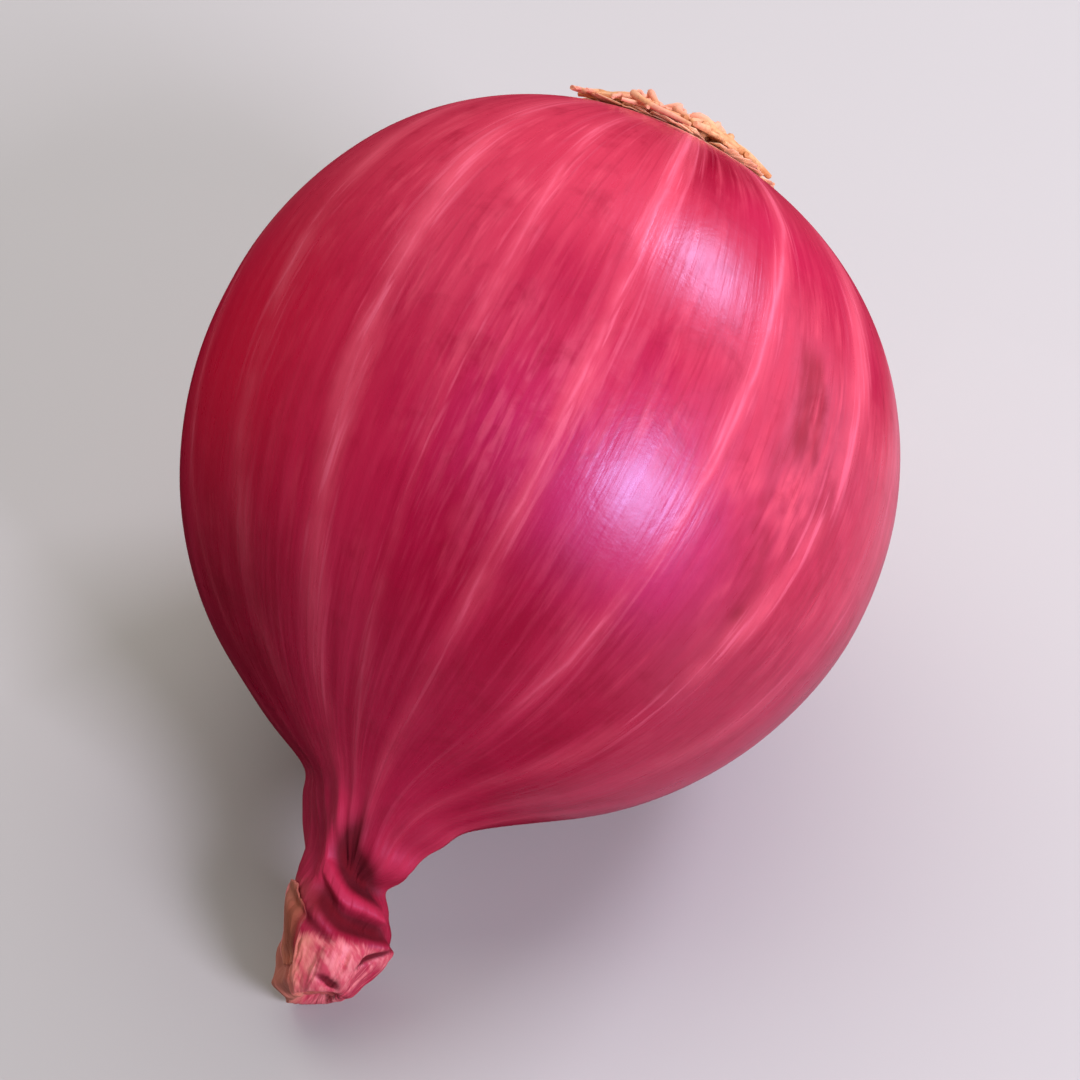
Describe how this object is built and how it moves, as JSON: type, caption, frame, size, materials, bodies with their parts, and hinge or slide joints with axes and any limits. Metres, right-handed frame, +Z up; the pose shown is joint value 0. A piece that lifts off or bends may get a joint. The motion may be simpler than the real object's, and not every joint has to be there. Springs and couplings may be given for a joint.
{
  "type": "onion",
  "caption": "Whole dry red onion: round bulb in glossy papery skin with a twisted dry neck and a tuft of dry roots, lying on its side.",
  "frame": {"origin": "middle of the small flat spot that the belly rests on", "axes": "+Z up; the neck points to -Y and down to the surface, and the roots point to +Y and up"},
  "size_m": [0.0581, 0.0721, 0.058],
  "materials": {
    "onion_skin": "thin, smooth, semi-gloss papery skin, crimson to magenta with paler lengthwise veins",
    "dry_roots": "matte, fibrous, straw-yellow to brown"
  },
  "bodies": {
    "root": {"bulb": "onion_skin", "root_tuft": "dry_roots"}
  },
  "joints": []
}
